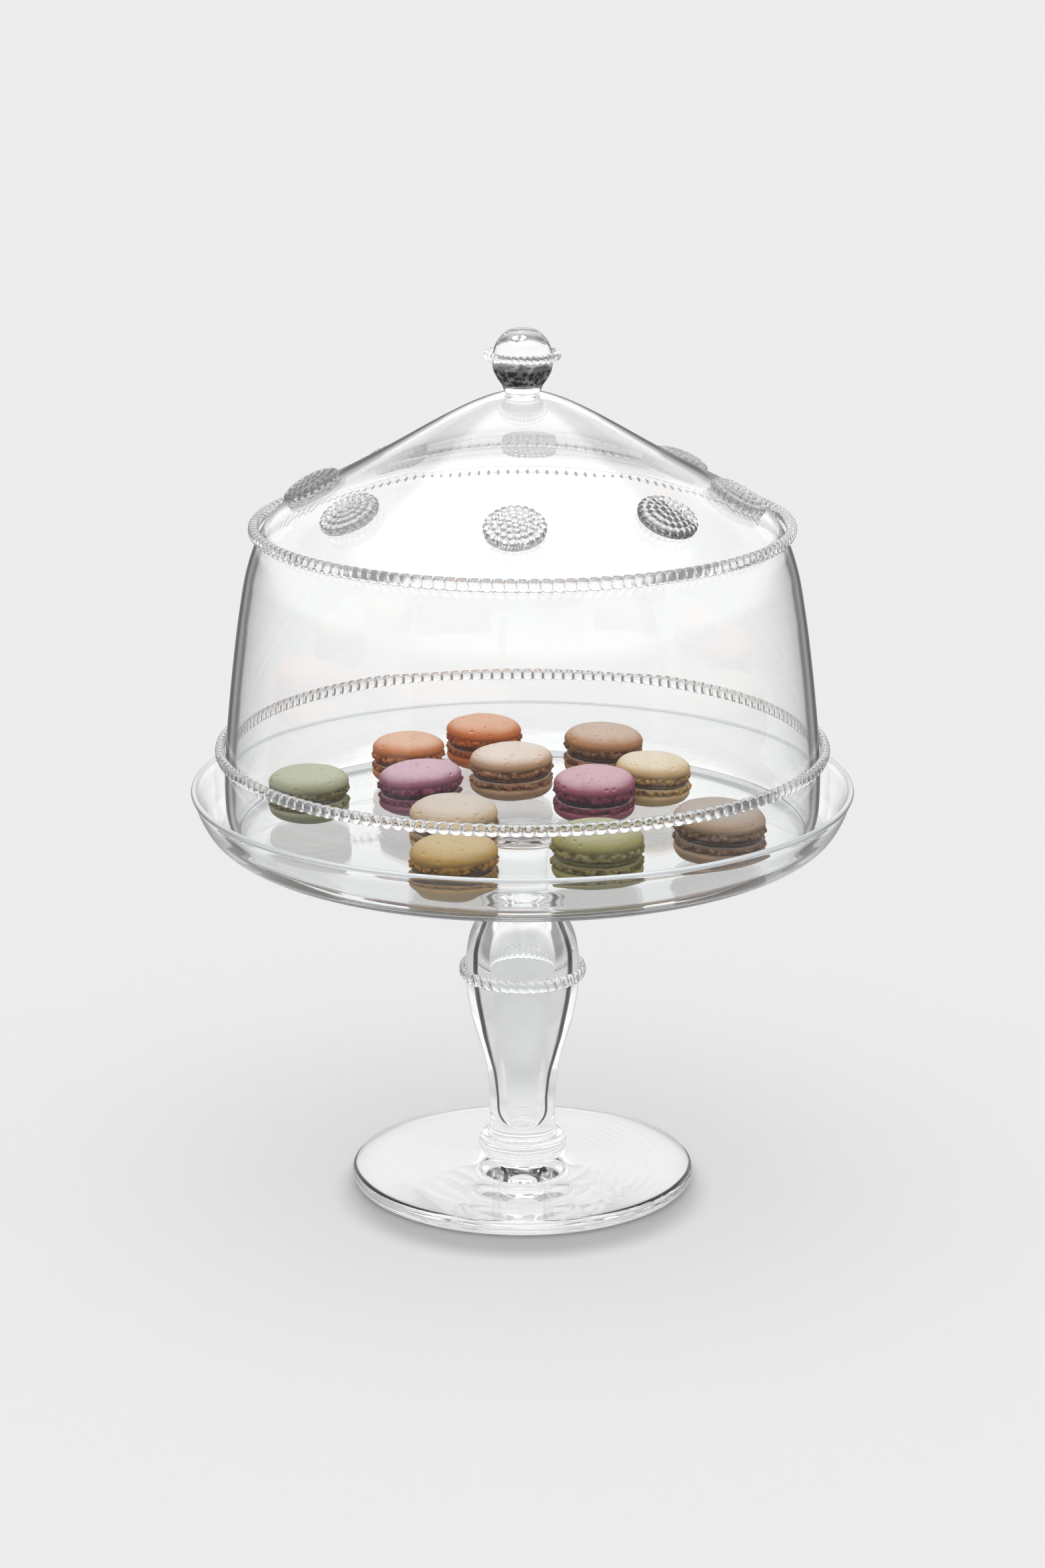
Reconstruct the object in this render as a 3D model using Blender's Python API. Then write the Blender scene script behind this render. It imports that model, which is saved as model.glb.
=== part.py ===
"""Twelve macarons on a footed glass stand, under a glass dome with a ball knob.

Metres, +Z up. The origin is the centre of the foot's flat underside, and the stand's turning axis is Z.
The dome lifts straight up off the plate, so everything fused to it hangs from one empty.
"""

import math

import bmesh
import bpy
from mathutils import Matrix, Vector

MM = 0.001
GAP = 0.3  # clearance between neighbouring pieces, mm

# Driving dimensions, mm
PLATE_RADIUS = 165.1
PLATE_UNDERSIDE = 180.0
PLATE_FLOOR = 185.0
GALLERY_TOP = 208.5
LIP_RADIUS = 1.6
FOOT_RADIUS = 87.3
FOOT_THICKNESS = 7.0
FOOT_RISE = 13.0  # height of the foot's glass under the collar
COLLAR_TOP = 23.7
STEM_TOP = 146.0
NECK_RADIUS = 12.8
DOME_CROWN = 405.0
DOME_RIM_RADIUS = 1.6  # the rim is rounded, and stands the gap above the plate
PRUNT_RADIUS = 14.6
PRUNT_RIM = 2.6  # height of a prunt's upright edge above the roof
PRUNT_HEIGHT = 7.2
KNOB_TOP = 436.8

# Each thread of glass: radius, height, half its width and half its height
THREADS = {
    "stem_ring": (30.6, 110.5, 1.5, 3.3),
    "dome_lower_ring": (150.1, 227.5, 2.1, 3.1),
    "dome_shoulder_ring": (131.6, 339.0, 2.6, 3.0),
    "knob_ring": (17.0, 423.4, 2.0, 2.2),
}

# Each prunt's bearing (degrees, from the front towards +X) and its centre's distance from the axis (mm)
PRUNTS = ((-2, 101.5), (42, 102), (80, 106), (131, 105), (178, 104), (219, 105), (270, 103), (308, 104))

# The dome's outer side, from just above its rim to its crown: radius, height, and the wall's thickness there
DOME_KNOTS = (
    (144.8, 186.9, 3.2),
    (147.4, 195.0, 3.2),
    (148.2, 208.0, 3.2),
    (147.6, 226.0, 3.2),
    (145.2, 252.0, 3.2),
    (142.4, 276.0, 3.2),
    (139.6, 296.0, 3.2),
    (135.9, 316.0, 3.4),
    (131.8, 329.0, 3.8),
    (128.6, 336.2, 4.4),
    (124.2, 342.8, 5.0),
    (117.0, 348.9, 5.4),
    (105.0, 355.9, 5.4),
    (88.0, 364.8, 4.6),
    (68.0, 375.8, 3.8),
    (38.0, 393.1, 3.2),
    (22.0, 401.0, 3.2),
    (11.0, 404.6, 3.2),
    (0.0, 405.0, 3.2),
)

# How finely each kind of piece is turned
BIG_TURN = 36
STEM_TURN = 20
SMALL_TURN = 16
MACARON_TURN = 12

GLASS = ((0.93, 0.95, 0.96), 0.03, 1.0)  # colour, roughness, transmission

# name: x, y, radius, height (mm), lean (degrees), bearing it leans towards, shell colour, filling colour
MACARONS = {
    "pistachio_left": (-108.0, 15.4, 20.3, 25.7, 0.0, 0, (0.52, 0.52, 0.30), (0.30, 0.24, 0.13)),
    "apricot": (-59.7, 84.7, 18.8, 24.4, 1.0, 200, (0.86, 0.42, 0.20), (0.45, 0.20, 0.12)),
    "orange": (-20.4, 115.1, 19.7, 25.7, 1.5, 90, (0.88, 0.33, 0.10), (0.30, 0.13, 0.07)),
    "almond": (-5.8, 58.0, 21.3, 25.5, 1.5, 270, (0.80, 0.62, 0.44), (0.42, 0.26, 0.18)),
    "coffee": (42.6, 94.0, 20.6, 26.6, 2.0, 90, (0.68, 0.45, 0.30), (0.25, 0.13, 0.08)),
    "lemon": (66.9, 45.7, 19.0, 24.4, 2.0, 90, (0.84, 0.72, 0.38), (0.40, 0.26, 0.20)),
    "raspberry_left": (-52.0, 29.0, 21.0, 24.5, 4.0, 270, (0.62, 0.24, 0.37), (0.12, 0.05, 0.07)),
    "raspberry_right": (36.2, 15.9, 20.5, 24.5, 2.5, 0, (0.62, 0.20, 0.32), (0.08, 0.05, 0.06)),
    "vanilla": (-33.5, -45.6, 21.5, 27.4, 0.0, 0, (0.82, 0.66, 0.50), (0.60, 0.44, 0.30)),
    "mango": (-32.3, -111.0, 20.8, 27.1, 2.0, 270, (0.80, 0.60, 0.20), (0.33, 0.16, 0.10)),
    "pistachio_front": (35.7, -93.1, 21.9, 28.6, 0.0, 0, (0.53, 0.55, 0.27), (0.45, 0.42, 0.14)),
    "chocolate": (95.3, -56.1, 22.2, 27.8, 3.0, 60, (0.58, 0.42, 0.30), (0.16, 0.09, 0.07)),
}

# Where a macaron's pieces meet, as shares of its height
BASE_TOP = 0.445
FILLING_TOP = 0.545


def clear_scene():
    for thing in list(bpy.data.objects):
        bpy.data.objects.remove(thing, do_unlink=True)


def finish(name, colour, roughness, transmission):
    """A plain Principled material."""
    material = bpy.data.materials.new(name)
    material.use_nodes = True
    shader = material.node_tree.nodes["Principled BSDF"]
    shader.inputs["Base Color"].default_value = (*colour, 1.0)
    shader.inputs["Roughness"].default_value = roughness
    shader.inputs["Metallic"].default_value = 0.0
    shader.inputs["Transmission Weight"].default_value = transmission
    return material


def curve_through(points, steps):
    """Points of a smooth curve through the given ones, with this many steps between each two."""
    last = len(points) - 1
    found = []
    for i in range(last):
        before, start = Vector(points[max(i - 1, 0)]), Vector(points[i])
        end, after = Vector(points[i + 1]), Vector(points[min(i + 2, last)])
        for k in range(steps):
            t = k / steps
            bend = 2 * before - 5 * start + 4 * end - after
            twist = 3 * start - before - 3 * end + after
            found.append(0.5 * (2 * start + (end - before) * t + bend * t**2 + twist * t**3))
    found.append(Vector(points[last]))
    return [(point.x, point.y) for point in found]


def set_in(outline, depths):
    """The outline with each point moved to its left by its depth: inwards, when the outline runs upwards."""
    moved = []
    for i, (point, depth) in enumerate(zip(outline, depths)):
        before = Vector(outline[max(i - 1, 0)])
        after = Vector(outline[min(i + 1, len(outline) - 1)])
        along = (after - before).normalized()
        moved.append((max(point[0] - depth * along.y, 0.0), point[1] + depth * along.x))
    return moved


def arc(centre, radius, start, end, steps):
    """Points of an arc, its angles in degrees from +X."""
    angles = [math.radians(start + (end - start) * k / steps) for k in range(steps + 1)]
    return [(centre[0] + radius * math.cos(a), centre[1] + radius * math.sin(a)) for a in angles]


def mesh_from(name, shape):
    mesh = bpy.data.meshes.new(name)
    shape.to_mesh(mesh)
    shape.free()
    mesh.shade_smooth()
    mesh.set_sharp_from_angle(angle=math.radians(40))
    return mesh


def place(name, mesh, material, parent=None):
    piece = bpy.data.objects.new(name, mesh)
    if not mesh.materials:
        mesh.materials.append(material)
    bpy.context.scene.collection.objects.link(piece)
    piece.parent = parent
    return piece


def spun(name, outline, turns):
    """A mesh of the closed outline of (radius, height) in mm, turned about Z."""
    shape = bmesh.new()
    points = [shape.verts.new((r * MM, 0.0, z * MM)) for r, z in outline]
    edges = [shape.edges.new((a, b)) for a, b in zip(points, points[1:] + points[:1])]
    bmesh.ops.spin(
        shape,
        geom=points + edges,
        cent=(0, 0, 0),
        axis=(0, 0, 1),
        dvec=(0, 0, 0),
        angle=2 * math.pi,
        steps=turns,
        use_duplicate=False,
    )
    bmesh.ops.remove_doubles(shape, verts=shape.verts, dist=0.001 * MM)
    loose = [edge for edge in shape.edges if not edge.link_faces]  # the outline's run along the axis
    bmesh.ops.delete(shape, geom=loose, context="EDGES")
    bmesh.ops.recalc_face_normals(shape, faces=shape.faces)
    return mesh_from(name, shape)


def turned(name, outline, turns, material, parent=None):
    return place(name, spun(name, outline, turns), material, parent)


def ring(name, radius, height, half_width, half_height, turns, sides, material, parent=None):
    """A trail of glass laid round the axis, with an oval section."""
    angles = [2 * math.pi * k / sides for k in range(sides)]
    section = [(radius + half_width * math.cos(a), height + half_height * math.sin(a)) for a in angles]
    return turned(name, section, turns, material, parent)


def foot_outline():
    """The disc that stands on the table: flat below, with a full round edge and a low cone on top."""
    half = FOOT_THICKNESS / 2
    edge = arc((FOOT_RADIUS - half, half), half, -90, 90, 6)
    return [(0, 0), *edge, (56, 8.6), (32, 10.8), (21, FOOT_RISE), (0, FOOT_RISE)]


def collar_outline():
    """The knop of solid glass between the foot and the stem."""
    bottom = FOOT_RISE + GAP
    side = curve_through([(18.4, bottom), (22.0, 15.8), (22.5, 19.0), (20.8, 22.2), (17.6, COLLAR_TOP)], 2)
    return [(0, bottom), *side, (0, COLLAR_TOP)]


def stem_outside():
    knots = [(17.6, 24.0), (16.5, 37.0), (18.9, 60.0), (22.1, 72.0), (25.7, 84.5), (28.0, 98.0)]
    knots += [(28.6, 108.0), (28.1, 119.0), (25.6, 131.0), (20.2, 140.6), (14.6, STEM_TOP)]
    return curve_through(knots, 1)


def stem_outline():
    """A blown baluster: thick walls round a bubble, which ends above in a narrow blowing hole."""
    hole = 2.4
    bubble = [(0, 26.5), (5.0, 27.4), (7.7, 32.0), (8.3, 44.0), (9.4, 58.0), (13.2, 82.0)]
    bubble += [(16.2, 104.0), (16.2, 120.0), (12.6, 132.0), (7.0, 137.6), (hole, 139.6), (hole, STEM_TOP)]
    return [(0, 24.0), *stem_outside(), *reversed(bubble)]


def neck_outline():
    """The solid neck that joins the stem to the plate."""
    bottom = STEM_TOP + GAP
    top = PLATE_UNDERSIDE - GAP
    side = [(14.2, bottom), (NECK_RADIUS, 152), (NECK_RADIUS, 168), (14.4, 176), (16.4, top)]
    return [(0, bottom), *side, (0, top)]


def plate_outline():
    """The plate: a flat floor inside a low flared gallery with a rounded lip."""
    outside = [(139.0, PLATE_UNDERSIDE), (148.2, 182.9), (155.6, 188.4), (160.6, 196.2), (163.9, 204.4)]
    lip = arc((PLATE_RADIUS - LIP_RADIUS, GALLERY_TOP - LIP_RADIUS), LIP_RADIUS, 0, 180, 4)
    inside = [(159.6, 200.2), (156.3, 193.4), (151.6, 187.4), (147.2, PLATE_FLOOR)]
    return [(0, PLATE_UNDERSIDE), *outside, *lip, *inside, (0, PLATE_FLOOR)]


def dome_outline():
    outside = [(r, z) for r, z, _ in DOME_KNOTS]
    inside = set_in(outside, [wall for _, _, wall in DOME_KNOTS])
    inside[-1] = (0.0, DOME_CROWN - DOME_KNOTS[-1][2])
    lowest, rim_height = outside[0]
    rim = arc((lowest - DOME_RIM_RADIUS, rim_height), DOME_RIM_RADIUS, 0, -180, 4)
    return [*outside, *reversed(inside[1:]), *rim[:0:-1]]


def roof_height(reach):
    """The height of the dome's roof at this distance from the axis."""
    for (r1, z1, _), (r0, z0, _) in zip(DOME_KNOTS, DOME_KNOTS[1:]):
        if r0 <= reach <= r1:
            return z0 + (z1 - z0) * (reach - r0) / (r1 - r0)
    raise ValueError(reach)


def roof_cutter(material):
    """The dome with the clearance all round it, which cuts the underside of the prunts."""
    outside = [(r, z) for r, z, _ in DOME_KNOTS]
    skin = set_in(outside, [-GAP] * len(outside))
    skin[-1] = (0.0, DOME_CROWN + GAP)
    return turned("prunt_cutter", [(0, skin[0][1]), *skin], 2 * BIG_TURN, material)


def prunt(name, bearing, reach, cutter, material, parent):
    """A button of glass with a domed face, set square on the roof and shaped below to fit it."""
    swell = PRUNT_HEIGHT - PRUNT_RIM
    outer = [(0, -3.0), (PRUNT_RADIUS, -3.0), (PRUNT_RADIUS, PRUNT_RIM)]
    outer.append((0.90 * PRUNT_RADIUS, PRUNT_RIM + 0.48 * swell))
    outer.append((0.55 * PRUNT_RADIUS, PRUNT_RIM + 0.85 * swell))
    outer.append((0, PRUNT_HEIGHT))
    blank = turned("prunt_blank", outer, SMALL_TURN, material)
    slope = math.atan2(roof_height(reach - 10) - roof_height(reach + 10), 20)
    seat = Matrix.Translation((0, -reach * MM, roof_height(reach) * MM))
    turn = Matrix.Rotation(math.radians(bearing), 4, "Z")
    blank.data.transform(turn @ seat @ Matrix.Rotation(slope, 4, "X"))
    cut = blank.modifiers.new("seat", "BOOLEAN")
    cut.operation = "DIFFERENCE"
    cut.solver = "EXACT"
    cut.object = cutter
    seen = blank.evaluated_get(bpy.context.evaluated_depsgraph_get())
    mesh = bpy.data.meshes.new_from_object(seen)
    bpy.data.objects.remove(blank, do_unlink=True)
    place(name, mesh, material, parent)


def knob_outline():
    """A solid ball drawn down to a short neck."""
    side = [(8.7, DOME_CROWN + GAP + 0.3), (9.9, 408.6), (12.3, 412.2), (14.2, 416.2), (14.6, 421.0)]
    side += [(14.0, 426.2), (11.8, 431.0), (7.4, 435.2)]
    return [(0, DOME_CROWN + GAP), (8.4, DOME_CROWN + GAP), *side, (0, KNOB_TOP)]


def leaned(mesh, height, degrees, bearing):
    """Tips the upper part of a macaron, while its underside stays flat on the plate."""
    slope = math.tan(math.radians(degrees))
    toward = Vector((math.sin(math.radians(bearing)), -math.cos(math.radians(bearing))))
    for point in mesh.vertices:
        share = min(point.co.z / (BASE_TOP * height * MM), 1.0)
        point.co.z -= slope * share * point.co.xy.dot(toward)


def macaron(name, spec):
    """A base shell, a disc of filling and a cap shell, each shell with a ruffled foot next to the filling."""
    x, y, radius, height, degrees, bearing, shell_colour, filling_colour = spec
    shell = finish(f"macaron_{name}_shell", shell_colour, 0.75, 0.0)
    cream = finish(f"macaron_{name}_cream", filling_colour, 0.55, 0.0)
    seam = GAP / height

    base = [(0, 0), (0.52, 0), (0.84, 0.06), (0.98, 0.19), (0.97, 0.31), (1.0, 0.39), (0.93, BASE_TOP)]
    base.append((0, BASE_TOP))
    filling = [(0, BASE_TOP + seam), (0.90, BASE_TOP + seam), (0.93, 0.495), (0.90, FILLING_TOP - seam)]
    filling.append((0, FILLING_TOP - seam))
    cap = [(0, FILLING_TOP), (0.93, FILLING_TOP), (1.0, 0.60), (0.97, 0.665), (1.0, 0.74), (0.93, 0.87)]
    cap += [(0.72, 0.96), (0.40, 1.0), (0, 1.0)]
    for piece, shares, material in (("base", base, shell), ("filling", filling, cream), ("cap", cap, shell)):
        outline = [(r * radius, z * height) for r, z in shares]
        made = turned(f"macaron_{name}_{piece}", outline, MACARON_TURN, material)
        leaned(made.data, height, degrees, bearing)
        made.location = (x * MM, y * MM, (PLATE_FLOOR + GAP) * MM)


def build_stand(glass):
    turned("foot", foot_outline(), BIG_TURN, glass)
    turned("foot_collar", collar_outline(), STEM_TURN, glass)
    turned("stem", stem_outline(), STEM_TURN, glass)
    ring("stem_ring", *THREADS["stem_ring"], STEM_TURN, 6, glass)
    turned("stem_neck", neck_outline(), STEM_TURN, glass)
    turned("plate", plate_outline(), BIG_TURN, glass)


def build_dome(glass):
    lift = bpy.data.objects.new("dome_lift", None)  # the empty that the whole dome slides up with
    bpy.context.scene.collection.objects.link(lift)
    turned("dome", dome_outline(), BIG_TURN, glass, lift)
    ring("dome_lower_ring", *THREADS["dome_lower_ring"], BIG_TURN, 6, glass, lift)
    ring("dome_shoulder_ring", *THREADS["dome_shoulder_ring"], BIG_TURN, 6, glass, lift)
    cutter = roof_cutter(glass)
    for number, (bearing, reach) in enumerate(PRUNTS, 1):
        prunt(f"dome_prunt_{number}", bearing, reach, cutter, glass, lift)
    bpy.data.objects.remove(cutter, do_unlink=True)
    turned("knob", knob_outline(), SMALL_TURN, glass, lift)
    ring("knob_ring", *THREADS["knob_ring"], SMALL_TURN, 6, glass, lift)


def main():
    clear_scene()
    glass = finish("clear_glass", *GLASS)
    build_stand(glass)
    build_dome(glass)
    for name, spec in MACARONS.items():
        macaron(name, spec)


main()
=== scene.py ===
import math

import bmesh
import bpy
import numpy as np
from mathutils import Matrix, Vector


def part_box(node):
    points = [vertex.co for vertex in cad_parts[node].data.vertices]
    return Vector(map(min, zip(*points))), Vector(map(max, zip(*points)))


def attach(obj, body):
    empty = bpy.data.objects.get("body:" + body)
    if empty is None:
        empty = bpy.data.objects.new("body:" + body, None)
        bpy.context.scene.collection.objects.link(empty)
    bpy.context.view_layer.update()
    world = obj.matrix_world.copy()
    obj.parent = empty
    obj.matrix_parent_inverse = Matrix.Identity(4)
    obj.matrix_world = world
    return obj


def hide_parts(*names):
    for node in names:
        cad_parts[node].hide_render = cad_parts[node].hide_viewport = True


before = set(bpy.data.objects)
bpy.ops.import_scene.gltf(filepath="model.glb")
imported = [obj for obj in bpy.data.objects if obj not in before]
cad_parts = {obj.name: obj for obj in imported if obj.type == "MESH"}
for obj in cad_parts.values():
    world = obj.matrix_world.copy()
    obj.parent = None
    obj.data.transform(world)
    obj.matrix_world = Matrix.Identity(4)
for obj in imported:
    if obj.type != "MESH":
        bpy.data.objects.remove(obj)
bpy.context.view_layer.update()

mm = 0.001
scene = bpy.context.scene
print("frame loaded:", len(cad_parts), "nodes")


# ---- small helpers for node trees ----

def addNode(tree, kind, **settings):
    node = tree.nodes.new(kind)
    for key, value in settings.items():
        setattr(node, key, value)
    return node


# a value goes to a socket either as a link or as a plain number
def feed(tree, socket, value):
    if isinstance(value, bpy.types.NodeSocket):
        tree.links.new(value, socket)
    else:
        socket.default_value = value


def calc(tree, operation, *values, clamp=False):
    node = addNode(tree, "ShaderNodeMath", operation=operation, use_clamp=clamp)
    for socket, value in zip(node.inputs, values):
        feed(tree, socket, value)
    return node.outputs[0]


def ramp(tree, value, low, high, toLow=0.0, toHigh=1.0, kind="SMOOTHSTEP"):
    node = addNode(tree, "ShaderNodeMapRange", interpolation_type=kind)
    limits = {"Value": value, "From Min": low, "From Max": high, "To Min": toLow, "To Max": toHigh}
    for name, number in limits.items():
        feed(tree, node.inputs[name], number)
    return node.outputs[0]


def mixColour(tree, share, first, second):
    node = addNode(tree, "ShaderNodeMix", data_type="RGBA")
    feed(tree, node.inputs[0], share)
    feed(tree, node.inputs[6], first)
    feed(tree, node.inputs[7], second)
    return node.outputs[2]


def noiseOf(tree, place, scale, detail):
    node = addNode(tree, "ShaderNodeTexNoise")
    feed(tree, node.inputs["Vector"], place)
    feed(tree, node.inputs["Scale"], scale)
    node.inputs["Detail"].default_value = detail
    return node.outputs[0]


def splitOf(tree, vector):
    parts = addNode(tree, "ShaderNodeSeparateXYZ")
    feed(tree, parts.inputs[0], vector)
    return parts.outputs


# distance from the upright axis
def reachOf(tree, x, y):
    squares = [calc(tree, "MULTIPLY", side, side) for side in (x, y)]
    return calc(tree, "SQRT", calc(tree, "ADD", *squares))


def valueOf(tree, label):
    return addNode(tree, "ShaderNodeAttribute", attribute_name=label).outputs["Fac"]


def startMaterial(name):
    material = bpy.data.materials.new(name)
    material.use_nodes = True
    tree = material.node_tree
    return material, tree, tree.nodes["Principled BSDF"]


def addBump(tree, shader, strength, distance, height):
    bump = addNode(tree, "ShaderNodeBump")
    bump.inputs["Strength"].default_value = strength
    bump.inputs["Distance"].default_value = distance
    feed(tree, bump.inputs["Height"], height)
    feed(tree, shader.inputs["Normal"], bump.outputs[0])


def grey(level):
    return (level, level, level, 1.0)


# a geometry tree with a geometry input, the named numbers and a material
def startTree(name, *numbers):
    tree = bpy.data.node_groups.new(name, "GeometryNodeTree")
    face = tree.interface
    face.new_socket(name="Geometry", in_out="INPUT", socket_type="NodeSocketGeometry")
    for label in numbers:
        face.new_socket(name=label, in_out="INPUT", socket_type="NodeSocketFloat")
    face.new_socket(name="Material", in_out="INPUT", socket_type="NodeSocketMaterial")
    face.new_socket(name="Geometry", in_out="OUTPUT", socket_type="NodeSocketGeometry")
    return tree, addNode(tree, "NodeGroupInput").outputs


# stores a value on the points for the material, and closes the tree
def closeTree(tree, given, settle, label, value):
    keep = addNode(tree, "GeometryNodeStoreNamedAttribute", data_type="FLOAT", domain="POINT")
    feed(tree, keep.inputs["Geometry"], settle.outputs[0])
    keep.inputs["Name"].default_value = label
    feed(tree, keep.inputs["Value"], value)
    soft = addNode(tree, "GeometryNodeSetShadeSmooth")
    feed(tree, soft.inputs["Geometry"], keep.outputs[0])
    whole = addNode(tree, "GeometryNodeRealizeInstances")
    feed(tree, whole.inputs[0], soft.outputs[0])
    coat = addNode(tree, "GeometryNodeSetMaterial")
    feed(tree, coat.inputs["Geometry"], whole.outputs[0])
    feed(tree, coat.inputs["Material"], given["Material"])
    feed(tree, addNode(tree, "NodeGroupOutput").inputs[0], coat.outputs[0])
    return tree


# pushes every point along its normal
def pushOut(tree, given, lift):
    offset = addNode(tree, "ShaderNodeVectorMath", operation="SCALE")
    feed(tree, offset.inputs[0], addNode(tree, "GeometryNodeInputNormal").outputs[0])
    feed(tree, offset.inputs["Scale"], lift)
    settle = addNode(tree, "GeometryNodeSetPosition")
    feed(tree, settle.inputs["Geometry"], given["Geometry"])
    feed(tree, settle.inputs["Offset"], offset.outputs[0])
    return settle


# ---- outlines (radius and height in millimetres) turned into closed skins ----

def scaled(points):
    return [(r * mm, z * mm) for r, z in points]


def arc(centre, radius, start, end, steps):
    angles = [math.radians(start + (end - start) * k / steps) for k in range(steps + 1)]
    return [(centre[0] + radius * math.cos(a), centre[1] + radius * math.sin(a)) for a in angles]


# centripetal curve through the points, broken at corners, sampled about every step metres
def smoothed(points, step, cornerDegrees=56):
    places = [Vector(p) for p in points]
    corners = {0, len(places) - 1}
    for i in range(1, len(places) - 1):
        before, after = places[i] - places[i - 1], places[i + 1] - places[i]
        if before.angle(after, 0) > math.radians(cornerDegrees):
            corners.add(i)
    found = []
    for i in range(len(places) - 1):
        here, there = places[i], places[i + 1]
        gap = math.sqrt((there - here).length)
        run = (there - here) / gap
        tangents = []
        for k, other in ((i, i - 1), (i + 1, i + 2)):
            if k in corners:
                tangents.append(run)
                continue
            reach = math.sqrt((places[other] - places[k]).length)
            away = (places[other] - places[k]) / reach * (1 if k > i else -1)
            span = (places[other] - (there if k == i else here)) / (reach + gap) * (1 if k > i else -1)
            tangents.append(run + away - span)
        count = max(1, round((there - here).length / step))
        for n in range(count):
            t = n / count
            found.append(
                here * (2 * t**3 - 3 * t**2 + 1)
                + tangents[0] * gap * (t**3 - 2 * t**2 + t)
                + there * (3 * t**2 - 2 * t**3)
                + tangents[1] * gap * (t**3 - t**2)
            )
    found.append(places[-1])
    return [(max(p.x, 0.0), p.y) for p in found]


# a closed mesh of an outline that starts and ends on the axis; uneven moves its points in radius and height
def turned(name, outline, sides, uneven=None, inward=False):
    angles = np.arange(sides) * 2 * math.pi / sides
    rows = np.array(outline[1:-1])
    radius = np.repeat(rows[:, :1], sides, axis=1)
    height = np.repeat(rows[:, 1:], sides, axis=1)
    around = np.repeat(angles[None, :], len(rows), axis=0)
    if uneven:
        radius, height = uneven(radius, height, around)
    grid = np.stack([radius * np.cos(around), radius * np.sin(around), height], -1).reshape(-1, 3)
    points = [tuple(p) for p in grid] + [(0, 0, outline[0][1]), (0, 0, outline[-1][1])]
    low, high = len(grid), len(grid) + 1
    top = (len(rows) - 1) * sides
    faces = []
    for row in range(len(rows) - 1):
        for side in range(sides):
            a, b = row * sides + side, row * sides + (side + 1) % sides
            faces.append((a, b, b + sides, a + sides))
    for side in range(sides):
        nextSide = (side + 1) % sides
        faces.append((low, nextSide, side))
        faces.append((high, top + side, top + nextSide))
    if inward:
        faces = [face[::-1] for face in faces]
    mesh = bpy.data.meshes.new(name)
    mesh.from_pydata(points, [], faces)
    mesh.update()
    return mesh


def pointsOf(mesh):
    places = np.empty(len(mesh.vertices) * 3, np.float32)
    mesh.vertices.foreach_get("co", places)
    return places.reshape(-1, 3)


def setPoints(mesh, places):
    mesh.vertices.foreach_set("co", places.astype(np.float32).ravel())
    mesh.update()


def addPiece(name, mesh, material, body, slot, *nodes):
    mesh.materials.clear()
    mesh.materials.append(material)
    piece = bpy.data.objects.new(name, mesh)
    scene.collection.objects.link(piece)
    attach(piece, body)
    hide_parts(*nodes)
    return piece


def joinMeshes(name, meshes):
    shape = bmesh.new()
    for mesh in meshes:
        shape.from_mesh(mesh)
    joined = bpy.data.meshes.new(name)
    shape.to_mesh(joined)
    shape.free()
    joined.shade_smooth()
    return joined


# ---- clear blown glass ----

glassLook = {
    "ior": 1.5,
    "clear": (0.99, 0.995, 0.995, 1.0),
    "edge": (0.05, 0.055, 0.06, 1.0),  # a painted dark line along an outline, painted shade where the glass turns away from view
    "edgeShare": 0.95,
    "boreShare": 0.97,  # the walls of the bubble in the stem get the blackest painted dark lines
    "wallFrom": 0.74,  # how slantwise a wall is seen before its painted dark line begins
    "slopeFrom": 0.90,  # and a slope, whose dark line is thinner
    "slopeBetween": (0.35, 0.75),  # uprightness of the normal from a wall to a slope
    "boreEarlier": 0.22,  # the bubble's walls darken this much sooner
    "softness": 0.10,
    "flatFrom": 0.91,  # level faces, above this uprightness, stay clear
    "flatFade": 0.06,
    "flatClear": 1.0,
    "plainAbove": 9.0,  # above this height the outline keeps only a tenth of its dark
    "plainFade": 3 * mm,
    "creaseShare": 0.0,
    "traces": (),  # trails fused to the wall, shown as painted dark ticks: lowest and highest point, number of ribs, least radius
    "traceShadeShare": 0.75,
    "traceTeeth": (0.15, 0.55),
    "traceDepth": 0.4 * mm,
    "band": None,  # painted shade and reflection: a dark band painted into solid glass: heights where it starts, is full, fades and ends
    "streakScale": 420,
    "lip": None,  # heights between which the rim is painted pale: a painted highlight of caught light
    "lipColour": (0.80, 0.85, 0.90, 1.0),
    "lipShare": 0.75,
    "ripple": 0.02,
    "rippleScale": 25,
    "rippleDepth": 4 * mm,
    "shadow": (0.992, 0.993, 0.994, 1.0),
    "contact": (0.66, 0.67, 0.68, 1.0),  # the foot's rim keeps light off the table beside it
    "contactBelow": 12 * mm,
    "contactBeyond": 85 * mm,
    "contactFade": 1.5 * mm,
}


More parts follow.
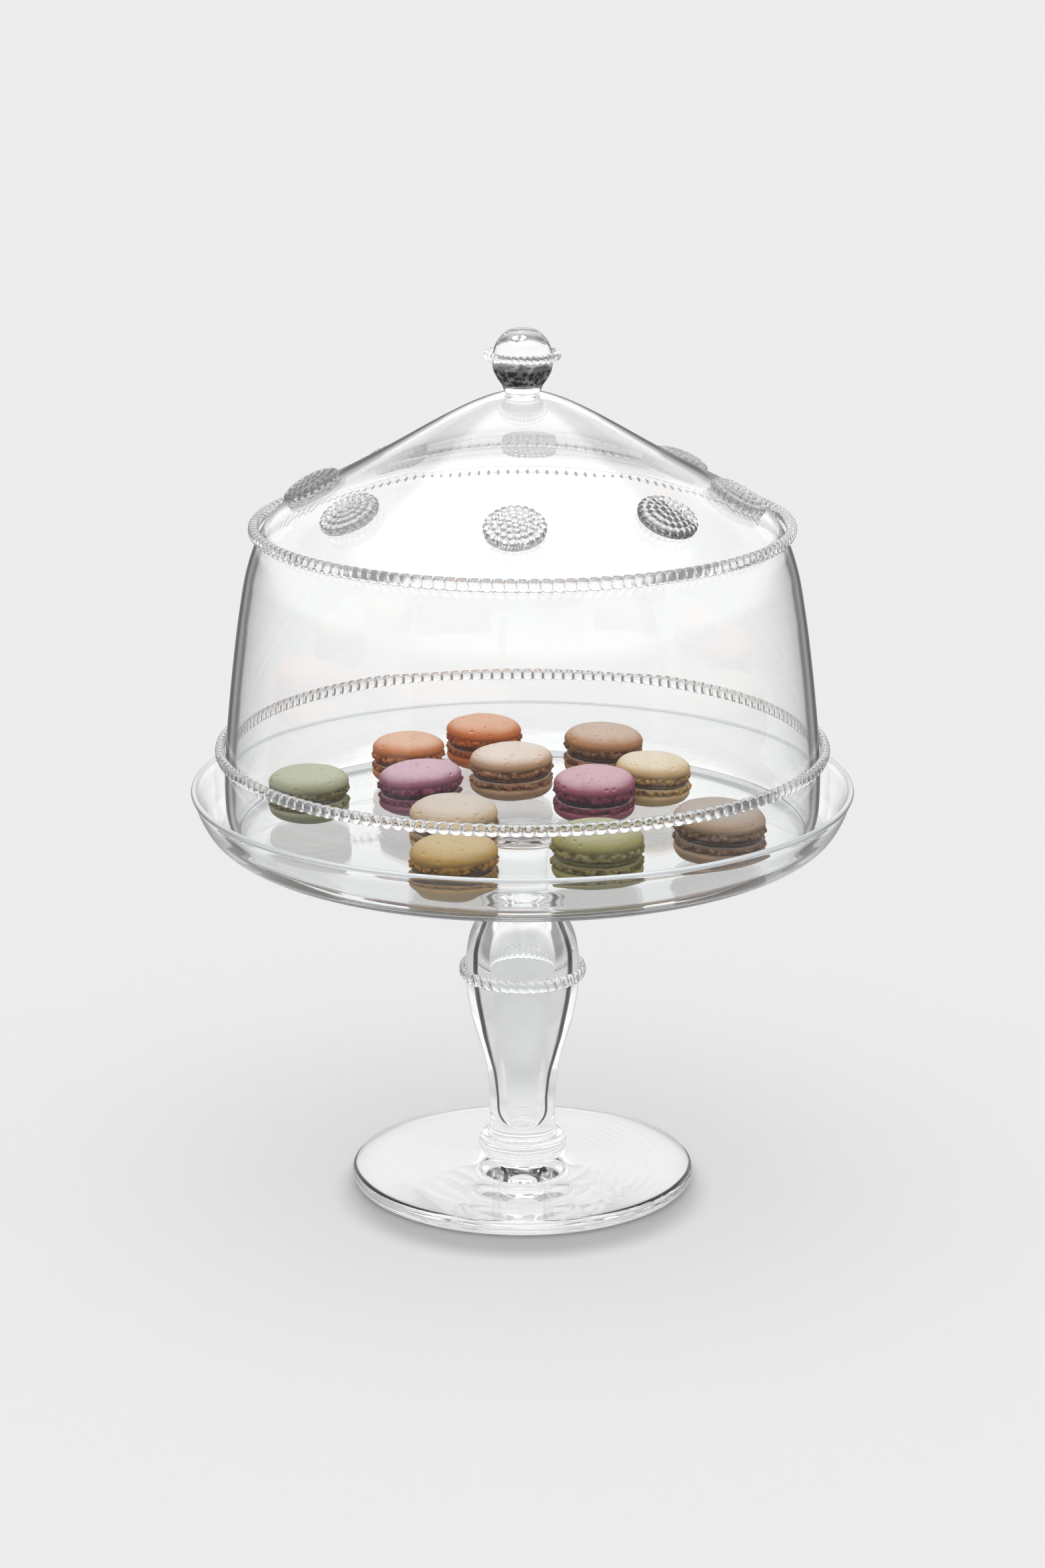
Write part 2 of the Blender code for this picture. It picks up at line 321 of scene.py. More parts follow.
def blownGlass(name, **changes):
    look = dict(glassLook, **changes)
    material, tree, glass = startMaterial(name)
    out = tree.nodes["Material Output"]
    glass.inputs["IOR"].default_value = look["ior"]
    glass.inputs["Roughness"].default_value = 0.0
    place = addNode(tree, "ShaderNodeTexCoord").outputs["Object"]
    x, y, height = splitOf(tree, place)
    reach = reachOf(tree, x, y)
    surface = addNode(tree, "ShaderNodeNewGeometry").outputs
    flat = calc(tree, "ABSOLUTE", splitOf(tree, surface["Normal"])[2])
    facing = addNode(tree, "ShaderNodeLayerWeight")
    facing.inputs["Blend"].default_value = 0.5
    bore = valueOf(tree, "bore")
    # painted shade: the glass colour is painted dark along its outlines, where the surface turns away from view
    start = ramp(tree, flat, *look["slopeBetween"], look["wallFrom"], look["slopeFrom"])
    start = calc(tree, "SUBTRACT", start, calc(tree, "MULTIPLY", bore, look["boreEarlier"]))
    darkest = calc(tree, "ADD", start, look["softness"])
    share = ramp(tree, bore, 0.0, 1.0, look["edgeShare"], look["boreShare"], "LINEAR")
    edge = calc(tree, "MULTIPLY", ramp(tree, facing.outputs["Facing"], start, darkest), share)
    level, plain = look["flatFrom"], look["plainAbove"]
    steep = ramp(tree, flat, level, level + look["flatFade"], 1.0, 1.0 - look["flatClear"])
    below = ramp(tree, height, plain, plain + look["plainFade"], 1.0, 0.1)
    edge = calc(tree, "MULTIPLY", calc(tree, "MULTIPLY", edge, steep), below)
    # the bubble's walls get their painted dark lines from the glass side only
    airSide = calc(tree, "MULTIPLY", bore, calc(tree, "SUBTRACT", 1.0, surface["Backfacing"]))
    edge = calc(tree, "MULTIPLY", edge, calc(tree, "SUBTRACT", 1.0, airSide))
    # painted shade: creases between ribs and dots are painted dark
    creaseShading = calc(tree, "MULTIPLY", valueOf(tree, "crease"), look["creaseShare"])
    edge = calc(tree, "MAXIMUM", edge, creaseShading)
    # a fused trail shows in the wall as a row of dark ticks, painted shade of its creases
    for low, high, ribs, outside in look["traces"]:
        turn = calc(tree, "MULTIPLY", calc(tree, "ARCTAN2", y, x), ribs / 2)
        wave = calc(tree, "ABSOLUTE", calc(tree, "SINE", turn))
        teeth = ramp(tree, wave, *look["traceTeeth"], look["traceShadeShare"], 0.0)
        soft = (high - low) * 0.2
        within = ramp(tree, height, low, low + soft)
        within = calc(tree, "MULTIPLY", within, ramp(tree, height, high - soft, high, 1.0, 0.0))
        within = calc(tree, "MULTIPLY", within, ramp(tree, reach, outside - look["traceDepth"], outside))
        edge = calc(tree, "MAXIMUM", edge, calc(tree, "MULTIPLY", teeth, within))
    # painted shade: a dark, streaked band is painted into the glass colour
    if look["band"]:
        rising, falling = look["band"][:2], look["band"][2:]
        paintedBand = ramp(tree, height, *rising)
        paintedBand = calc(tree, "MULTIPLY", paintedBand, ramp(tree, height, *falling, 1.0, 0.0))
        streaks = ramp(tree, noiseOf(tree, place, look["streakScale"], 2.0), 0.38, 0.58, 0.60, 0.98)
        edge = calc(tree, "MAXIMUM", edge, calc(tree, "MULTIPLY", paintedBand, streaks))
    tint, solid = mixColour(tree, edge, look["clear"], look["edge"]), edge
    # painted highlight: the rim is painted pale where light is caught
    if look["lip"]:
        rimHighlight = calc(tree, "MULTIPLY", ramp(tree, height, *look["lip"]), look["lipShare"])
        tint = mixColour(tree, rimHighlight, tint, look["lipColour"])
        solid = calc(tree, "MAXIMUM", edge, rimHighlight)
    feed(tree, glass.inputs["Base Color"], tint)
    feed(tree, glass.inputs["Transmission Weight"], calc(tree, "SUBTRACT", 1.0, solid))
    shine = calc(tree, "MULTIPLY", calc(tree, "SUBTRACT", 1.0, edge), 0.5)
    feed(tree, glass.inputs["Specular IOR Level"], shine)
    waves = noiseOf(tree, place, look["rippleScale"], 1.0)
    addBump(tree, glass, look["ripple"], look["rippleDepth"], waves)
    # lamps and bounced light go straight through, so that the food inside is lit
    beyond, under = look["contactBeyond"], look["contactBelow"]
    rim = ramp(tree, reach, beyond - look["contactFade"], beyond)
    rim = calc(tree, "MULTIPLY", rim, ramp(tree, height, under * 0.8, under, 1.0, 0.0))
    clearWay = addNode(tree, "ShaderNodeBsdfTransparent")
    feed(tree, clearWay.inputs[0], mixColour(tree, rim, look["shadow"], look["contact"]))
    path = addNode(tree, "ShaderNodeLightPath")
    forBounce, forLamp = addNode(tree, "ShaderNodeMixShader"), addNode(tree, "ShaderNodeMixShader")
    feed(tree, forBounce.inputs[0], path.outputs["Is Diffuse Ray"])
    feed(tree, forBounce.inputs[1], glass.outputs[0])
    feed(tree, forBounce.inputs[2], clearWay.outputs[0])
    feed(tree, forLamp.inputs[0], path.outputs["Is Shadow Ray"])
    feed(tree, forLamp.inputs[1], forBounce.outputs[0])
    feed(tree, forLamp.inputs[2], clearWay.outputs[0])
    feed(tree, out.inputs["Surface"], forLamp.outputs[0])
    return material


standGlass = blownGlass(
    "stand_glass_clear", plainAbove=0.197, flatFrom=0.70, edgeShare=0.30, lip=(0.2064, 0.2078), lipShare=0.6,
)
domeGlass = blownGlass(
    "dome_glass_clear", wallFrom=0.80, slopeFrom=0.93, softness=0.07, rippleScale=18,
    traces=((0.2252, 0.2298, 168, 0.1460), (0.3346, 0.3390, 150, 0.1256)),
)
knobGlass = blownGlass("knob_glass_clear", flatClear=0.0, band=(0.4082, 0.4100, 0.4165, 0.4200))
smallGlass = {"flatClear": 0.0, "rippleScale": 120}
ringGlass = blownGlass(
    "ring_glass_clear", wallFrom=0.66, slopeFrom=0.72, softness=0.2,
    edgeShare=0.8, creaseShare=0.97, **smallGlass,
)
beadGlass = blownGlass(
    "bead_glass_clear", wallFrom=0.78, slopeFrom=0.84, softness=0.15,
    edgeShare=0.6, creaseShare=0.75, **smallGlass,
)
buttonGlass = blownGlass(
    "button_glass_clear", wallFrom=0.80, slopeFrom=0.86, softness=0.14,
    edgeShare=0.38, creaseShare=0.70, **smallGlass,
)


# ---- the stand: foot, collar, stem, neck and plate, fused into one body of glass ----

standShape = {
    "sides": 192,
    "step": 1.2 * mm,
    "ripple": 0.09 * mm,  # rings left in the foot's face by the spinning
    "rippleGap": 5.2 * mm,
    "wander": 0.25 * mm,  # how far the hand-blown stem strays from round
    "foot": [
        (0, 0), (60, 0), (80, 0), (82.6, 0), *arc((83.8, 3.5), 3.5, -80, 90, 8),
        (70, 7.7), (56, 8.6), (32, 10.8), (21, 12.8),
    ],
    "collar": [(19.4, 13.6), (22.0, 15.8), (22.5, 19.0), (20.8, 22.2), (18.0, 23.7), (17.3, 24.4)],
    "stem": [
        (16.5, 37.0), (18.9, 60.0), (22.1, 72.0), (25.7, 84.5), (28.0, 98.0), (28.6, 108.0),
        (28.1, 119.0), (25.6, 131.0), (20.2, 140.6), (15.0, 145.6),
    ],
    "neck": [(12.8, 152.0), (12.6, 160.0), (12.8, 168.0), (14.4, 175.0), (18.5, 179.2), (24.0, 180.0)],
    "plate": [
        (80, 180), (139.0, 180.0), (148.2, 182.9), (155.6, 188.4), (160.6, 196.2), (163.9, 204.4),
        *arc((163.5, 206.9), 1.6, 0, 180, 6), (159.6, 200.2), (156.3, 193.4), (151.6, 187.4), (147.2, 185.0),
        (80, 185), (0, 185),
    ],
    "bubble": [
        (0.0, 26.5), (5.0, 27.4), (7.7, 32.0), (8.3, 44.0), (9.4, 58.0), (13.2, 82.0), (16.2, 104.0),
        (16.2, 120.0), (12.6, 132.0), (7.0, 138.6), (3.0, 142.0), (0.0, 143.2),
    ],
}


def standUneven(radius, height, around):
    onFoot = (height < 14 * mm) & (height > 5 * mm) & (radius > 24 * mm)
    sector = 0.04 + np.clip(np.cos(around - math.radians(35)), 0, 1) ** 3
    fade = np.clip((radius - 24 * mm) / (15 * mm), 0, 1) * np.clip((82 * mm - radius) / (10 * mm), 0, 1)
    rings = np.sin(2 * math.pi * (radius + 2.2 * mm * np.sin(around * 2 + 0.7)) / standShape["rippleGap"])
    height = height + onFoot * sector * fade * rings * standShape["ripple"]
    onStem = np.clip((height - 24 * mm) / (20 * mm), 0, 1) * np.clip((150 * mm - height) / (15 * mm), 0, 1)
    radius = radius + onStem * standShape["wander"] * np.sin(2 * around + 60 * height + 0.5)
    return radius, height


def buildStand():
    look = standShape
    outside = scaled(look["foot"] + look["collar"] + look["stem"] + look["neck"] + look["plate"])
    skin = turned("stand_skin", smoothed(outside, look["step"]), look["sides"], standUneven)
    bubble = smoothed(scaled(look["bubble"]), look["step"])
    hollow = turned("stand_bubble", bubble, look["sides"], standUneven, inward=True)
    whole = joinMeshes("glass_stand", [skin, hollow])
    bore = np.zeros(len(whole.vertices), np.float32)
    bore[len(skin.vertices):] = 1.0
    whole.attributes.new("bore", "FLOAT", "POINT").data.foreach_set("value", bore)
    nodes = ("foot", "foot_collar", "stem", "stem_neck", "plate")
    addPiece("glass_stand", whole, standGlass, "stand", "stand_glass", *nodes)


buildStand()
print("stand blown")


# ---- the dome ----

domeShape = {
    "sides": 256,
    "step": 1.8 * mm,
    "wander": 0.35 * mm,
    # radius and height of the outer side, and the wall's thickness there, from the rim to the crown
    "wall": [
        (144.8, 186.9, 3.2), (147.4, 195.0, 3.2), (148.2, 208.0, 3.2), (147.6, 226.0, 3.2), (145.2, 252.0, 3.2),
        (142.4, 276.0, 3.2), (139.6, 296.0, 3.2), (135.9, 316.0, 3.4), (131.8, 329.0, 3.8), (128.6, 336.2, 4.4),
        (124.2, 342.8, 5.0), (117.0, 348.9, 5.4), (105.0, 355.9, 5.4), (88.0, 364.8, 4.6), (68.0, 375.8, 3.8),
        (38.0, 393.1, 3.2), (22.0, 401.0, 3.2), (11.0, 404.6, 3.2), (0.0, 405.0, 3.2),
    ],
    "rim": 1.6,
}


def domeUneven(radius, height, around):
    share = np.clip((height - 200 * mm) / (60 * mm), 0, 1) * np.clip((radius - 12 * mm) / (40 * mm), 0, 1)
    slow = np.sin(3 * around + 14 * height) + 0.6 * np.sin(5 * around - 22 * height + 1.0)
    return radius + share * domeShape["wander"] * slow * 0.5, height


def domeSkins():
    outer = smoothed(scaled([(r, z) for r, z, _ in domeShape["wall"]]), domeShape["step"])
    knotHeights = [z * mm for _, z, _ in domeShape["wall"]]
    depths = [wall * mm for _, _, wall in domeShape["wall"]]
    inner = []
    for i, (r, z) in enumerate(outer):
        before, after = Vector(outer[max(i - 1, 0)]), Vector(outer[min(i + 1, len(outer) - 1)])
        along = (after - before).normalized()
        depth = float(np.interp(z, knotHeights, depths))
        inner.append((max(r - depth * along.y, 0.0), z + depth * along.x))
    return outer, inner


def buildDome():
    outer, inner = domeSkins()
    start, end = Vector(inner[0]), Vector(outer[0])
    middle, reach = (start + end) / 2, (end - start).length / 2
    rim = arc(tuple(middle), reach, 180, 360, 8)[1:-1]
    outline = inner[::-1] + rim + outer
    mesh = turned("dome_wall", outline, domeShape["sides"], domeUneven)
    addPiece("dome_wall", joinMeshes("dome_wall", [mesh]), domeGlass, "dome", "dome_glass", "dome")


buildDome()
print("dome blown")


# ---- ribbed trails of glass: round the dome twice, round the stem and round the knob ----

# middle of the trail, half its width and half its height (mm), and its ribs
trails = {
    "dome_lower_ring": {
        "at": (150.4, 227.5), "half": (2.4, 3.2), "ribs": 168, "slant": 0.0,
        "depth": 0.60, "scallop": 0.20, "sharp": 0.5,
    },
    "dome_shoulder_ring": {
        "at": (131.8, 339.0), "half": (2.7, 3.2), "ribs": 150, "slant": 0.3,
        "depth": 0.55, "scallop": 0.16, "sharp": 0.4,
    },
    "stem_ring": {
        "at": (30.6, 110.5), "half": (1.5, 3.4), "ribs": 42, "slant": 1.0,
        "depth": 0.60, "scallop": 0.14, "sharp": 0.5,
    },
    "knob_ring": {
        "at": (17.0, 423.4), "half": (2.0, 2.2), "ribs": 34, "slant": 1.1,
        "depth": 0.60, "scallop": 0.45, "sharp": 0.7,
    },
}
trailMesh = {
    "pointsPerRib": 8.0,
    "sectionPoints": 14,
    "creaseShadeFrom": (0.12, 0.38),  # how deep a crease is before painted shade darkens it
    "beltFade": (0.60, 1.0),
}


def trailTree():
    sizes = ("Radius", "Height", "Half Width", "Half Height")
    ribs = ("Slant", "Depth", "Scallop", "Sharpness", "Ribs")
    tree, given = startTree("ribbed trail", *sizes, *ribs)
    line = addNode(tree, "GeometryNodeCurvePrimitiveCircle")
    feed(tree, line.inputs["Resolution"], calc(tree, "MULTIPLY", given["Ribs"], trailMesh["pointsPerRib"]))
    feed(tree, line.inputs["Radius"], given["Radius"])
    section = addNode(tree, "GeometryNodeCurvePrimitiveCircle")
    section.inputs["Resolution"].default_value = trailMesh["sectionPoints"]
    section.inputs["Radius"].default_value = mm
    tube = addNode(tree, "GeometryNodeCurveToMesh")
    feed(tree, tube.inputs["Curve"], line.outputs[0])
    feed(tree, tube.inputs["Profile Curve"], section.outputs[0])
    x, y, z = splitOf(tree, addNode(tree, "GeometryNodeInputPosition").outputs[0])
    around = calc(tree, "ARCTAN2", y, x)
    out = calc(tree, "DIVIDE", calc(tree, "SUBTRACT", reachOf(tree, x, y), given["Radius"]), mm)
    up = calc(tree, "DIVIDE", z, mm)
    # each rib swells between two creases
    phase = calc(tree, "MULTIPLY", calc(tree, "MULTIPLY", around, given["Ribs"]), 0.5)
    phase = calc(tree, "ADD", phase, calc(tree, "MULTIPLY", up, given["Slant"]))
    swell = calc(tree, "POWER", calc(tree, "ABSOLUTE", calc(tree, "SINE", phase)), given["Sharpness"])
    crease = calc(tree, "SUBTRACT", 1.0, swell)
    size = calc(tree, "SUBTRACT", 1.0, calc(tree, "MULTIPLY", given["Depth"], crease))
    scallop = calc(tree, "SUBTRACT", 1.0, calc(tree, "MULTIPLY", given["Scallop"], crease))
    wide = calc(tree, "MULTIPLY", calc(tree, "MULTIPLY", out, given["Half Width"]), size)
    tall = calc(tree, "MULTIPLY", calc(tree, "MULTIPLY", up, given["Half Height"]), scallop)
    distance = calc(tree, "ADD", given["Radius"], wide)
    moved = addNode(tree, "ShaderNodeCombineXYZ")
    feed(tree, moved.inputs[0], calc(tree, "MULTIPLY", distance, calc(tree, "COSINE", around)))
    feed(tree, moved.inputs[1], calc(tree, "MULTIPLY", distance, calc(tree, "SINE", around)))
    feed(tree, moved.inputs[2], calc(tree, "ADD", given["Height"], tall))
    settle = addNode(tree, "GeometryNodeSetPosition")
    feed(tree, settle.inputs["Geometry"], tube.outputs[0])
    feed(tree, settle.inputs["Position"], moved.outputs[0])
    # the painted shade of a crease is stored for the glass, strongest half way up the rib
    belt = ramp(tree, calc(tree, "ABSOLUTE", up), *trailMesh["beltFade"], 1.0, 0.0)
    paintedShade = calc(tree, "MULTIPLY", ramp(tree, crease, *trailMesh["creaseShadeFrom"]), belt)
    return closeTree(tree, given, settle, "crease", paintedShade)


# runs a tree on a mesh and gives back the plain mesh
def grown(name, tree, values, start=None):
    host = bpy.data.objects.new(name + "_host", start or bpy.data.meshes.new(name + "_host"))
    scene.collection.objects.link(host)
    modifier = host.modifiers.new("grow", "NODES")
    modifier.node_group = tree
    for socket in tree.interface.items_tree:
        if socket.in_out == "INPUT" and socket.name in values:
            modifier[socket.identifier] = values[socket.name]
    ready = host.evaluated_get(bpy.context.evaluated_depsgraph_get())
    mesh = bpy.data.meshes.new_from_object(ready)
    mesh.name = name
    host.modifiers.remove(modifier)
    bpy.data.objects.remove(host, do_unlink=True)
    return mesh


def outwards(mesh):
    shape = bmesh.new()
    shape.from_mesh(mesh)
    bmesh.ops.recalc_face_normals(shape, faces=shape.faces)
    shape.to_mesh(mesh)
    shape.free()
    return mesh


def buildTrails():
    tree = trailTree()
    for name, look in trails.items():
        glass = beadGlass if name == "knob_ring" else ringGlass
        values = {
            "Radius": look["at"][0] * mm,
            "Height": look["at"][1] * mm,
            "Half Width": look["half"][0] * mm,
            "Half Height": look["half"][1] * mm,
            "Ribs": float(look["ribs"]),
            "Slant": look["slant"],
            "Depth": look["depth"],
            "Scallop": look["scallop"],
            "Sharpness": look["sharp"],
            "Material": glass,
        }
        mesh = outwards(grown(name + "_ribs", tree, values))
        body = "stand" if name == "stem_ring" else "dome"
        addPiece(name + "_ribs", mesh, glass, body, body + "_glass", name)


buildTrails()
print("trails laid")


# ---- raspberry buttons on the roof ----

buttonShape = {
    "radius": 14.6 * mm,
    "rim": 0.9 * mm,  # height of the plain rim under the dots
    "crown": 4.6 * mm,  # how much the face swells above the rim
    "rows": 44,
    "sides": 132,
    "dotGap": 3.25 * mm,
    "dotRadius": 1.65 * mm,
    "dotHeight": 1.5 * mm,
    "clearance": 0.08 * mm,
    "inset": 1.2 * mm,  # the middle of a tilted button's box lies this far outside its seat
    "count": 8,
    "dotRings": 5,
    "underSteps": 12,
    "belly": 1.01,  # the rim is widest half way up, and narrower at its top
    "shoulder": 0.985,
    "roofFrom": 300 * mm,
    "slopeReach": 10 * mm,  # the roof's slope is read this far inside and outside the seat
    "turnEach": 0.7,
}


def buttonTree():
    tree, given = startTree("raspberry dots", "Gap", "Dot Radius", "Dot Height", "Rim")
    rings = addNode(tree, "GeometryNodeJoinGeometry")
    for number in range(buttonShape["dotRings"]):
        circle = addNode(tree, "GeometryNodeMeshCircle")
        circle.inputs["Vertices"].default_value = max(3, 6 * number)
        feed(tree, circle.inputs["Radius"], calc(tree, "MULTIPLY", given["Gap"], max(number, 0.001)))
        tree.links.new(circle.outputs[0], rings.inputs[0])
    x, y, z = splitOf(tree, addNode(tree, "GeometryNodeInputPosition").outputs[0])
    flat = addNode(tree, "ShaderNodeCombineXYZ")
    feed(tree, flat.inputs[0], x)
    feed(tree, flat.inputs[1], y)
    near = addNode(tree, "GeometryNodeProximity", target_element="POINTS")
    feed(tree, near.inputs[0], rings.outputs[0])
    feed(tree, near.inputs["Sample Position"], flat.outputs[0])
    away = calc(tree, "DIVIDE", near.outputs["Distance"], given["Dot Radius"])
    share = calc(tree, "MINIMUM", away, 1.0)
    dot = calc(tree, "SQRT", calc(tree, "SUBTRACT", 1.0, calc(tree, "MULTIPLY", share, share)))
    onFace = ramp(tree, z, calc(tree, "SUBTRACT", given["Rim"], 0.6 * mm), given["Rim"])
    lift = calc(tree, "MULTIPLY", calc(tree, "MULTIPLY", dot, given["Dot Height"]), onFace)
    # painted shade: a dark line round each dot, where it meets the face
    line = calc(tree, "MULTIPLY", ramp(tree, away, 0.72, 0.92), ramp(tree, away, 1.0, 1.25, 0.75, 0.1))
    settle = pushOut(tree, given, lift)
    return closeTree(tree, given, settle, "crease", calc(tree, "MULTIPLY", line, onFace))


def buildButtons():
    look = buttonShape
    tree = buttonTree()
    outside = sorted((r, z) for r, z in domeSkins()[0] if z > look["roofFrom"])
    reaches, heights = [p[0] for p in outside], [p[1] for p in outside]
    wide, rim, crown = look["radius"], look["rim"], look["crown"]
    blank = [(0.0, 0.0)]
    blank += [(wide * k / look["underSteps"], 0.0) for k in range(1, look["underSteps"])]
    blank += [(wide, 0.0), (wide * look["belly"], rim * 0.5), (wide * look["shoulder"], rim)]
    for k in range(1, look["rows"]):
        angle = math.pi / 2 * k / look["rows"]
        blank.append((wide * look["shoulder"] * math.cos(angle), rim + crown * math.sin(angle)))
    blank.append((0.0, rim + crown))
    values = {
        "Gap": look["dotGap"],
        "Dot Radius": look["dotRadius"],
        "Dot Height": look["dotHeight"],
        "Rim": look["rim"],
        "Material": buttonGlass,
    }
    base = grown("raspberry", tree, values, turned("raspberry_blank", blank, look["sides"]))
    for number in range(1, look["count"] + 1):
        name = f"dome_prunt_{number}"
        cad = np.array([v.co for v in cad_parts[name].data.vertices])
        middle = (cad.max(0) + cad.min(0)) / 2
        bearing = math.atan2(middle[0], -middle[1])
        reach = math.hypot(middle[0], middle[1]) - look["inset"]
        near, far = reach - look["slopeReach"], reach + look["slopeReach"]
        fall = np.interp(near, reaches, heights) - np.interp(far, reaches, heights)
        slope = math.atan2(fall, 2 * look["slopeReach"])
        seat = Matrix.Translation((0, -reach, float(np.interp(reach, reaches, heights))))
        turn = Matrix.Rotation(bearing, 4, "Z") @ seat @ Matrix.Rotation(slope, 4, "X")
        turn = turn @ Matrix.Rotation(number * look["turnEach"], 4, "Z")
        mesh = base.copy()
        under = pointsOf(mesh)[:, 2] < 0.01 * mm
        mesh.transform(turn)
        places = pointsOf(mesh)
        onRoof = np.interp(np.linalg.norm(places[:, :2], axis=1), reaches, heights) + look["clearance"]
        places[under, 2] = onRoof[under]
        setPoints(mesh, places)
        addPiece(name + "_raspberry", mesh, buttonGlass, "dome", "dome_glass", name)


buildButtons()
print("buttons pressed on")


# ---- the knob ----

knobShape = {
    "sides": 96,
    "step": 0.5 * mm,
    "ball": [
        (0.0, 405.3), (8.4, 405.3), (8.7, 405.6), (9.9, 408.6), (12.3, 412.2), (14.2, 416.2), (14.6, 421.0),
        (14.0, 426.2), (11.8, 431.0), (7.4, 435.2), (0.0, 436.8),
    ],
}


def buildKnob():
    outline = smoothed(scaled(knobShape["ball"]), knobShape["step"])
    mesh = joinMeshes("knob_ball", [turned("knob_ball", outline, knobShape["sides"])])
    addPiece("knob_ball", mesh, knobGlass, "dome", "dome_glass", "knob")


buildKnob()


# ---- macarons ----

# colours of the shell's top, its sides, its ruffled foot and the cream, the top paler partly from its bake and
# partly as painted highlight from the light above; lean (degrees) and bearing of the lean
macarons = {
    "pistachio_left": ((0.50, 0.52, 0.38), (0.42, 0.42, 0.26), (0.30, 0.25, 0.09), (0.14, 0.11, 0.05), 0.0, 0),
    "apricot": ((0.72, 0.46, 0.32), (0.68, 0.22, 0.07), (0.54, 0.16, 0.04), (0.30, 0.08, 0.04), 1.0, 200),
    "orange": ((0.72, 0.42, 0.28), (0.66, 0.17, 0.03), (0.54, 0.13, 0.02), (0.22, 0.06, 0.02), 1.5, 90),
    "almond": ((0.74, 0.64, 0.56), (0.56, 0.33, 0.18), (0.44, 0.20, 0.09), (0.24, 0.11, 0.07), 1.5, 270),
    "coffee": ((0.58, 0.44, 0.35), (0.52, 0.24, 0.10), (0.32, 0.14, 0.06), (0.11, 0.05, 0.03), 2.0, 90),
    "lemon": ((0.74, 0.65, 0.50), (0.68, 0.46, 0.21), (0.60, 0.36, 0.13), (0.26, 0.15, 0.09), 2.0, 90),
    "raspberry_left": ((0.62, 0.42, 0.48), (0.34, 0.11, 0.17), (0.26, 0.06, 0.11), (0.08, 0.02, 0.03), 4.0, 270),
    "raspberry_right": ((0.62, 0.40, 0.45), (0.34, 0.08, 0.13), (0.24, 0.05, 0.09), (0.02, 0.012, 0.015), 2.5, 0),
    "vanilla": ((0.62, 0.54, 0.46), (0.66, 0.48, 0.30), (0.54, 0.34, 0.17), (0.40, 0.27, 0.16), 0.0, 0),
    "mango": ((0.56, 0.43, 0.24), (0.56, 0.33, 0.08), (0.44, 0.21, 0.04), (0.14, 0.06, 0.02), 2.0, 270),
    "pistachio_front": ((0.42, 0.41, 0.26), (0.40, 0.36, 0.13), (0.33, 0.26, 0.08), (0.26, 0.24, 0.05), 0.0, 0),
    "chocolate": ((0.44, 0.38, 0.33), (0.48, 0.32, 0.20), (0.28, 0.15, 0.08), (0.09, 0.045, 0.03), 3.0, 60),
}

macaronShape = {
    "sides": 200,
    "ruffle": 1.9 * mm,  # how far the crumb of the foot stands in and out
    "crumb": 2.1 * mm,  # size of its grains
    "swell": 0.9 * mm,  # slow unevenness of the shells
    "pore": 0.55 * mm,
    "baseShare": 0.445,  # where the base shell ends and where the filling ends, as shares of the height
    "fillingShare": 0.545,
    "gap": 0.1 * mm,  # between a filling and each shell
    "step": 0.42 * mm,
    "footInside": 0.86,  # share of the radius inside which a shell's flat face stays smooth
    "skinFrom": 0.3,  # share of the height above which the skin has pores
    "swellScale": 70,
    "poreScale": 260,
    "fillingSides": 160,
    "fillingReach": 0.86,  # share of the radius where the cream begins to bulge, and the bulge
    "fillingBulge": 0.06,
    "fillingRough": 0.35,
}


# the bake: slow swelling everywhere, crumb where the ruffle mask is set, and a few pores on the smooth skin
def bakeTree():
    tree, given = startTree("baked crumb", "Ruffle", "Crumb", "Swell", "Pore", "Seed")
    mask = addNode(tree, "GeometryNodeInputNamedAttribute", data_type="FLOAT")
    mask.inputs["Name"].default_value = "ruffle"
    skin = addNode(tree, "GeometryNodeInputNamedAttribute", data_type="FLOAT")
    skin.inputs["Name"].default_value = "skin"
    shift = addNode(tree, "ShaderNodeVectorMath", operation="ADD")
    feed(tree, shift.inputs[0], addNode(tree, "GeometryNodeInputPosition").outputs[0])
    feed(tree, shift.inputs[1], given["Seed"])
    place = shift.outputs[0]
    grain = addNode(tree, "ShaderNodeTexVoronoi", feature="SMOOTH_F1")
    feed(tree, grain.inputs["Vector"], place)
    feed(tree, grain.inputs["Scale"], calc(tree, "DIVIDE", 1.0, given["Crumb"]))
    grain.inputs["Smoothness"].default_value = 0.3
    lumps = calc(tree, "SUBTRACT", 0.55, grain.outputs["Distance"])
    fine = noiseOf(tree, place, calc(tree, "DIVIDE", 0.45, given["Crumb"]), 3.0)
    fine = calc(tree, "MULTIPLY", calc(tree, "SUBTRACT", fine, 0.5), 1.6)
    rough = calc(tree, "ADD", lumps, fine)
    rough = calc(tree, "MULTIPLY", calc(tree, "MULTIPLY", rough, given["Ruffle"]), mask.outputs[0])
    slow = noiseOf(tree, place, macaronShape["swellScale"], 1.0)
    wave = calc(tree, "MULTIPLY", calc(tree, "SUBTRACT", slow, 0.5), given["Swell"])
    holes = addNode(tree, "ShaderNodeTexVoronoi", feature="F1")
    feed(tree, holes.inputs["Vector"], place)
    holes.inputs["Scale"].default_value = macaronShape["poreScale"]
    pits = ramp(tree, holes.outputs["Distance"], 0.10, 0.28, 1.0, 0.0)
    some = ramp(tree, noiseOf(tree, place, macaronShape["poreScale"], 0.0), 0.50, 0.56)
    deep = calc(tree, "MULTIPLY", given["Pore"], skin.outputs[0])
    pores = calc(tree, "MULTIPLY", calc(tree, "MULTIPLY", pits, some), deep)
    settle = pushOut(tree, given, calc(tree, "SUBTRACT", calc(tree, "ADD", rough, wave), pores))
    relief = calc(tree, "DIVIDE", calc(tree, "SUBTRACT", rough, pores), given["Ruffle"])
    return closeTree(tree, given, settle, "relief", relief)


